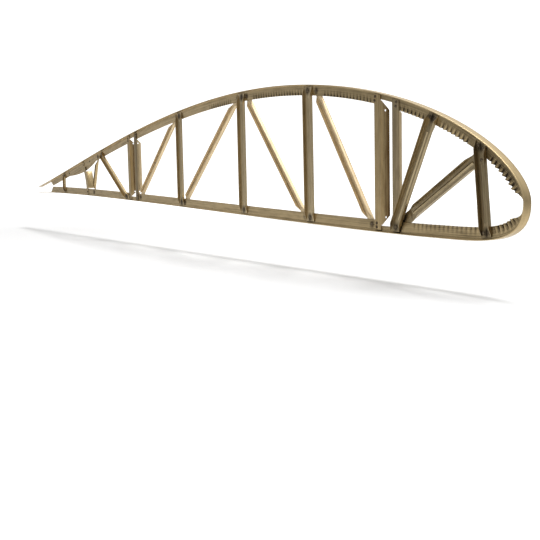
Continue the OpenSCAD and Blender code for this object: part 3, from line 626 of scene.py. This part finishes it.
# One input darkens by a given amount: dirt at riveted ends, the cap's darker web, or painted shade in the
# cap's folds and on the spar angles' plates
SHEET_INPUTS = {
    "Vector": "NodeSocketVector", "Sheet": "NodeSocketColor", "Dark": "NodeSocketColor",
    "Patina": "NodeSocketFloat", "Lines": "NodeSocketFloat", "StainAndShade": "NodeSocketFloat",
    "Satin": "NodeSocketFloat",
}
SHEET_OUTPUTS = {"Color": "NodeSocketColor", "Roughness": "NodeSocketFloat", "Height": "NodeSocketFloat"}


def rolled_sheet_group():
    """Dirt and shade = patina noise + rolling lines + painted shade from ambient occlusion in crevices + the
    stain or shade given. Colour = sheet mixed to dark by dirt and shade, roughness = satin + a share of it,
    and height = the rolling lines."""
    group = bpy.data.node_groups.new("rolled_sheet", "ShaderNodeTree")
    for name, kind in SHEET_INPUTS.items():
        group.interface.new_socket(name=name, in_out="INPUT", socket_type=kind)
    for name, kind in SHEET_OUTPUTS.items():
        group.interface.new_socket(name=name, in_out="OUTPUT", socket_type=kind)
    start = group.nodes.new("NodeGroupInput").outputs
    end = group.nodes.new("NodeGroupOutput").inputs
    lines = noise(group, start["Vector"], LINE_GRAIN, LINE_DETAIL)
    patina = noise(group, start["Vector"], PATINA_GRAIN, PATINA_DETAIL)
    # Painted shade: ambient occlusion darkens the colour in crevices, inside the channels and between parts
    crevice = group.nodes.new("ShaderNodeAmbientOcclusion")
    crevice.samples = CREVICE_SAMPLES
    crevice.inputs["Distance"].default_value = CREVICE_REACH
    mottle = combine(group, "MULTIPLY", span(group, patina, *PATINA_RANGE), start["Patina"])
    streaks = combine(group, "MULTIPLY", span(group, lines, *LINE_RANGE), start["Lines"])
    corners = span(group, crevice.outputs["AO"], *CREVICE_RANGE, 0.0, CREVICE_SHADE)
    dirt_and_shade = combine(group, "ADD", mottle, streaks)
    dirt_and_shade = combine(group, "ADD", dirt_and_shade, corners)
    dirt_and_shade = combine(group, "ADD", dirt_and_shade, start["StainAndShade"])
    colour = group.nodes.new("ShaderNodeMix")
    colour.data_type = "RGBA"
    group.links.new(dirt_and_shade, colour.inputs["Factor"])
    group.links.new(start["Sheet"], colour.inputs["A"])
    group.links.new(start["Dark"], colour.inputs["B"])
    group.links.new(colour.outputs["Result"], end["Color"])
    rough = combine(group, "ADD", start["Satin"], combine(group, "MULTIPLY", dirt_and_shade, DIRT_AND_SHADE_ROUGH))
    group.links.new(rough, end["Roughness"])
    group.links.new(lines, end["Height"])
    return group


rolled_sheet = rolled_sheet_group()
print("rolled sheet group has", len(rolled_sheet.nodes), "nodes")

# %% [markdown]
# ## Materials for the members
# A pattern on Object coordinates runs up and down, but a diagonal's rolling lines follow the diagonal. Each
# member could have a map of its own. A Mapping node that turns the pattern by the member's own lean does the
# same with one number, so one recipe serves every channel and angle.

# %% Write the recipe of the finish
SHEET = (0.60, 0.46, 0.25, 1)
DARK = (0.03, 0.021, 0.012, 1)
BUMP_STRENGTH = 0.1
BUMP_DEPTH = 0.0004


def finish(name, sheet=SHEET, dark=DARK, patina=0.25, lines=0.5, satin=0.3, metal=1.0):
    """A satin bronze sheet. Gives back the material, its tree and the rolled sheet's node, which still has
    to be laid on the piece."""
    material = bpy.data.materials.new(name)
    material.use_nodes = True
    tree = material.node_tree
    shader = tree.nodes["Principled BSDF"]
    shader.inputs["Metallic"].default_value = metal
    group = tree.nodes.new("ShaderNodeGroup")
    group.node_tree = rolled_sheet
    group.inputs["Sheet"].default_value = sheet
    group.inputs["Dark"].default_value = dark
    group.inputs["Patina"].default_value = patina
    group.inputs["Lines"].default_value = lines
    group.inputs["Satin"].default_value = satin
    bump = tree.nodes.new("ShaderNodeBump")
    bump.inputs["Strength"].default_value = BUMP_STRENGTH
    bump.inputs["Distance"].default_value = BUMP_DEPTH
    tree.links.new(group.outputs["Height"], bump.inputs["Height"])
    tree.links.new(group.outputs["Color"], shader.inputs["Base Color"])
    tree.links.new(group.outputs["Roughness"], shader.inputs["Roughness"])
    tree.links.new(bump.outputs["Normal"], shader.inputs["Normal"])
    return material, tree, group


print("colour of the plain sheet:", SHEET[:3])

# %% Lay the finish on a piece
RIVET_STAIN = 0.75
STAIN_NEAR = 0.0025
STAIN_FAR = 0.0075


def lay(tree, group, turn):
    """Lays the pattern on Object coordinates, turned about Y by an angle from upright, and gives back the
    coordinates."""
    where = tree.nodes.new("ShaderNodeTexCoord").outputs["Object"]
    mapping = tree.nodes.new("ShaderNodeMapping")
    mapping.vector_type = "TEXTURE"
    mapping.inputs["Rotation"].default_value = (0, turn, 0)
    tree.links.new(where, mapping.inputs["Vector"])
    tree.links.new(mapping.outputs["Vector"], group.inputs["Vector"])
    return where


def end_stain(tree, where, ends):
    """Dirt round the riveted ends, given as X and Z in millimetres: full when near, and none when far."""
    flat = stretched(tree, where, (1, 0, 1))
    stain_and_shade = 0.0
    for x, z in ends:
        away = tree.nodes.new("ShaderNodeVectorMath")
        away.operation = "DISTANCE"
        away.inputs[1].default_value = (x * MM, 0, z * MM)
        tree.links.new(flat, away.inputs[0])
        ring = span(tree, away.outputs["Value"], STAIN_NEAR, STAIN_FAR, RIVET_STAIN, 0.0)
        stain_and_shade = combine(tree, "MAXIMUM", ring, stain_and_shade)
    return stain_and_shade


def turned_finish(name, turn=0.0, ends=(), **look):
    """A finish whose rolling lines are turned about Y by an angle from upright, dirty at riveted ends."""
    material, tree, group = finish(name, **look)
    where = lay(tree, group, turn)
    if ends:
        tree.links.new(end_stain(tree, where, ends), group.inputs["StainAndShade"])
    return material


print("dirt ends %.1f mm from a rivet" % (STAIN_FAR / MM))

# %% Give each channel its finish, with painted light or shade in its colour
# Painted light and shade: the members' colours differ so that they look lit or shaded. The diagonals and
# uprights are lighter to look lit, and the nose strut, nose diagonal and spar brace are darker to look shaded.
PALE = (0.90, 0.71, 0.43, 1)
LIT_SHEET = (0.64, 0.515, 0.315, 1)
DULL = (0.42, 0.335, 0.20, 1)
SHADED_SHEET = (0.40, 0.315, 0.185, 1)
CHALKY = {"satin": 0.5, "metal": 0.3}
LIGHT_AND_SHADE_TINT = {
    "nose_strut": SHADED_SHEET, "nose_diagonal": DULL, "spar_brace": DULL,
    "first_upright": LIT_SHEET, "second_upright": LIT_SHEET, "third_upright": LIT_SHEET,
    "first_diagonal": PALE, "second_diagonal": PALE, "third_diagonal": PALE, "fourth_diagonal": PALE,
}
WELD_GAP = 0.000002
BEND_ROUND = 0.0003
BEND_STEPS = 2
BEND_ANGLE = math.radians(35)


def dress(name, material):
    """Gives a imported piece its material, and softens its bends with a small bevel."""
    piece = nodes[name]
    piece.data.materials.clear()
    piece.data.materials.append(material)
    weld = piece.modifiers.new("weld", "WELD")
    weld.merge_threshold = WELD_GAP
    bevel = piece.modifiers.new("bend", "BEVEL")
    bevel.width = BEND_ROUND
    bevel.segments = BEND_STEPS
    bevel.limit_method = "ANGLE"
    bevel.angle_limit = BEND_ANGLE
    bevel.harden_normals = True


for name in ENDS:
    painted_tint = LIGHT_AND_SHADE_TINT.get(name, SHEET)
    look = CHALKY if painted_tint is PALE else {}
    dress(name, turned_finish(name + "_sheet", lean(name), line_of(name), sheet=painted_tint, **look))
for name in ("cove_angle", "tail_gusset"):
    dress(name, turned_finish(name + "_sheet"))
print("dressed pieces:", sum("bend" in piece.modifiers for piece in nodes.values()))

# %% [markdown]
# The angles that clasp a spar have two faces: a flange on the web and a plate across it. On the aft angles the
# plate, which faces into the slot at the spar, is painted dark as painted shade. On the forward ones the plate
# is painted pale as painted light and the flange duller, so the colour follows Y from one face to the other.
# The rivets are darker than the sheet and more mottled.

# %% Give the spars' angles their painted light and shade, and the rivets their finish
# Painted shade for the aft angles' plates, and a duller colour for the forward angles' flanges
SLOT_SHADE = (0.12, 0.065, 0.02, 1)
TAUPE = (0.30, 0.235, 0.14, 1)
RIVET = (0.17, 0.13, 0.085, 1)
RIVET_PATINA = 0.6
FLANGE_Y = 0.001
PLATE_Y = 0.012


def shaded_plate_finish(name, sheet, dark, flange_shade, plate_shade):
    """A finish whose painted light and shade changes from the flange at the web to the plate's far edge in Y.
    """
    material, tree, group = finish(name, sheet=sheet, dark=dark)
    apart = tree.nodes.new("ShaderNodeSeparateXYZ")
    tree.links.new(lay(tree, group, 0.0), apart.inputs["Vector"])
    stain_and_shade = span(tree, apart.outputs["Y"], FLANGE_Y, PLATE_Y, flange_shade, plate_shade)
    tree.links.new(stain_and_shade, group.inputs["StainAndShade"])
    return material


for name in ("front_spar_tail_angle", "rear_spar_tail_angle"):
    dress(name, shaded_plate_finish(name + "_sheet", SHEET, SLOT_SHADE, flange_shade=0.1, plate_shade=0.9))
for name in ("front_spar_nose_angle", "rear_spar_nose_angle"):
    dress(name, shaded_plate_finish(name + "_sheet", PALE, TAUPE, flange_shade=0.8, plate_shade=0.0))
rivet_metal = turned_finish("rivet_metal", sheet=RIVET, patina=RIVET_PATINA)
for name in ("front_rivets", "back_rivets", "angle_rivets"):
    dress(name, rivet_metal)
print("dressed pieces:", sum("bend" in piece.modifiers for piece in nodes.values()))

# %% [markdown]
# The cap strip carries its own map: along the strip in one direction and round its section in the other. So
# its rolling lines bend round the nose with it. The painted shade in its folds, its darker web and the dirt at
# its rivets come from the two numbers that each of its points keeps.

# %% Give the cap strip its finish
# How strong the painted shade in the folds is, and how strong the web's darkening and the rivet dirt are
FOLD_SHADE = 0.9
WEB_AND_RIVET_DARK_SHARE = 0.7
cap_metal, tree, group = finish("cap_sheet")
strip_map = tree.nodes.new("ShaderNodeUVMap")
strip_map.uv_map = "along"
apart = tree.nodes.new("ShaderNodeSeparateXYZ")
swapped = tree.nodes.new("ShaderNodeCombineXYZ")
tree.links.new(strip_map.outputs["UV"], apart.inputs["Vector"])
tree.links.new(apart.outputs["X"], swapped.inputs["Z"])
tree.links.new(apart.outputs["Y"], swapped.inputs["X"])
tree.links.new(swapped.outputs["Vector"], group.inputs["Vector"])
# Painted shade in the folds
shaded_folds = combine(tree, "MULTIPLY", attribute(tree, "shade_in_folds"), FOLD_SHADE)
darker_web_and_rivets = combine(tree, "MULTIPLY", attribute(tree, "web_and_rivet_dark"), WEB_AND_RIVET_DARK_SHARE)
tree.links.new(combine(tree, "ADD", shaded_folds, darker_web_and_rivets), group.inputs["StainAndShade"])
cap.data.materials.append(cap_metal)
print("cap strip's material:", cap_metal.name)

# %% [markdown]
# ## Paper sweep
# White paper lies under the rib and rises far behind it, and gives the plain background. It is white where the
# lens looks and fades to a pale grey at the sides, a painted pool of light, because satin metal mirrors the
# floor beside the view, and white all round would wash out the front faces. More lamps would turn the paper
# white too, but they would light the rib as well, so the paper has a glow that only the lens and reflections
# see.

# %% Shape the paper sweep
FLOOR_Z = -0.138
FLAT_START = -2.6
FLAT_END = 7.0
SWEEP_R = 1.0
WALL_TOP = 2.6
SIDE = 1.0
SIDE_REACH = 3
VIEW_AT_LENS = 0.03
VIEW_SPREAD = 0.32
ROWS_BEHIND = 12
ROWS_AHEAD = 120
ROWS_ROUND = 25
ROWS_WALL = 8
COLUMNS = 121
forward = np.array([-math.cos(math.radians(OFF_CHORD)), math.sin(math.radians(OFF_CHORD))])
leftward = np.array([-forward[1], forward[0]])


def sweep_surface():
    """Point(d, t) = ground under the lens + d forward + side(d, t) leftward: flat, a quarter round, a wall.
    Up to t = 1 the side is t times the view's half width, and beyond it grows by SIDE (t - 1)^2. Gives back
    the points, d, and how far t lies beyond the view."""
    turn = np.linspace(0, math.pi / 2, ROWS_ROUND)
    behind = np.linspace(FLAT_START, 0, ROWS_BEHIND)[:-1]
    flat = np.concatenate([behind, np.linspace(0, FLAT_END, ROWS_AHEAD)[:-1]])
    wall = np.linspace(SWEEP_R, WALL_TOP, ROWS_WALL)[1:]
    round_d = FLAT_END + SWEEP_R * np.sin(turn)
    round_z = SWEEP_R - SWEEP_R * np.cos(turn)
    d = np.concatenate([flat, round_d, np.full(len(wall), FLAT_END + SWEEP_R)])[:, None]
    z = np.concatenate([np.zeros(len(flat)), round_z, wall])[:, None] + FLOOR_Z
    t = np.linspace(-SIDE_REACH, SIDE_REACH, COLUMNS)[None, :]
    in_view = VIEW_AT_LENS + VIEW_SPREAD * np.maximum(d, 0)
    beyond = t - np.clip(t, -1, 1)
    side = np.clip(t, -1, 1) * in_view + beyond * abs(beyond) * SIDE
    ground = np.array(CAMERA_AT[:2]) + d[..., None] * forward + side[..., None] * leftward
    points = np.concatenate([ground, np.broadcast_to(z, side.shape)[..., None]], axis=-1)
    return points, d, abs(beyond)


sweep_points, sweep_d, sweep_beyond = sweep_surface()
print("paper's grid:", sweep_points.shape[:2])

# %% Hang the paper sweep
WHITE_FADE = 0.8
WHITE_START = 0.25
BASE_GLOW = 0.04
FAR_GLOW = 0.8
FAR_GLOW_FROM = 2.1
FAR_GLOW_RUN = 1.5
NEAR_GLOW = 0.2
NEAR_GLOW_TO = 1.0
NEAR_GLOW_RUN = 0.35
PALE_GREY = 0.42
PAPER_WHITE = 0.8
# A painted pool of light: white paper with a glow where the lens looks, and pale grey beyond
white = (1 - ease(sweep_beyond / WHITE_FADE)) * ease(sweep_d / WHITE_START)
far_glow = FAR_GLOW * ease((sweep_d - FAR_GLOW_FROM) / FAR_GLOW_RUN)
near_glow = NEAR_GLOW * ease((NEAR_GLOW_TO - sweep_d) / NEAR_GLOW_RUN)
sweep = add_mesh(
    "paper_sweep",
    sweep_points.reshape(-1, 3) / MM,
    grid_faces(*sweep_points.shape[:2], closed=False),
    {"white": white, "glow": white * (BASE_GLOW + far_glow + near_glow)},
)
paper = bpy.data.materials.new("paper")
paper.use_nodes = True
tree = paper.node_tree
shader = tree.nodes["Principled BSDF"]
shader.inputs["Roughness"].default_value = 1.0
shader.inputs["Specular IOR Level"].default_value = 0.0
shader.inputs["Emission Color"].default_value = (1, 1, 1, 1)
shade = span(tree, attribute(tree, "white"), 0, 1, PALE_GREY, PAPER_WHITE)
tree.links.new(shade, shader.inputs["Base Color"])
ray = tree.nodes.new("ShaderNodeLightPath").outputs
seen = combine(tree, "MAXIMUM", ray["Is Camera Ray"], ray["Is Glossy Ray"])
seen = combine(tree, "MAXIMUM", seen, ray["Is Transmission Ray"])
shine = combine(tree, "MULTIPLY", attribute(tree, "glow"), seen)
tree.links.new(shine, shader.inputs["Emission Strength"])
sweep.data.materials.append(paper)

# %% [markdown]
# ## Light
# A long strip lamp hangs above the rib, a little behind it, and throws the soft shadow. The rest is what the
# metal mirrors. The room is darker in front of the rib than behind it, so front faces turn brown. It is
# lighter to the far left, which the tail mirrors, and bright above, so faces that look up turn gold.

# %% Hang the lamp


def lamp(name, at, to, long, wide, power):
    """A strip lamp that faces a point, with its long side level."""
    data = bpy.data.lights.new(name, "AREA")
    data.shape = "RECTANGLE"
    data.size = long
    data.size_y = wide
    data.energy = power
    made = bpy.data.objects.new(name, data)
    way = np.array(to) - np.array(at)
    flat = math.hypot(way[0], way[1])
    made.location = at
    made.rotation_euler = (math.atan2(flat, -way[2]), 0, math.atan2(way[1], way[0]) - math.pi / 2)
    scene.collection.objects.link(made)


lamp("key", at=(-0.1, 0.9, 2.3), to=(-0.3, 0, -0.1), long=2.2, wide=0.5, power=46)

# %% Set the levels of the room
FRONT_TO_BACK = (-0.5, 0.5)
FRONT_LEVEL = 0.31
BACK_LEVEL = 0.42
FAR_LEFT = (-0.76, -0.97)
FAR_LEFT_LEVEL = 0.6
BELOW = (-0.35, -0.05)
BELOW_SHARE = 0.25
ABOVE = (0.2, 0.9)
ABOVE_LEVEL = 0.6
world = bpy.data.worlds.new("studio")
scene.world = world
world.use_nodes = True
tree = world.node_tree
background = tree.nodes["Background"]
way = tree.nodes.new("ShaderNodeSeparateXYZ")
tree.links.new(tree.nodes.new("ShaderNodeTexCoord").outputs["Generated"], way.inputs["Vector"])
across = span(tree, way.outputs["Y"], *FRONT_TO_BACK, FRONT_LEVEL, BACK_LEVEL)
far_left = span(tree, way.outputs["X"], *FAR_LEFT, 0.0, FAR_LEFT_LEVEL)
below = span(tree, way.outputs["Z"], *BELOW, BELOW_SHARE, 1.0)
above = span(tree, way.outputs["Z"], *ABOVE, 0.0, ABOVE_LEVEL)
level = combine(tree, "MULTIPLY", combine(tree, "ADD", across, far_left), below)
level = combine(tree, "ADD", level, above)
tree.links.new(level, background.inputs["Strength"])
background.inputs["Color"].default_value = (1, 1, 1, 1)
print("world:", world.name)
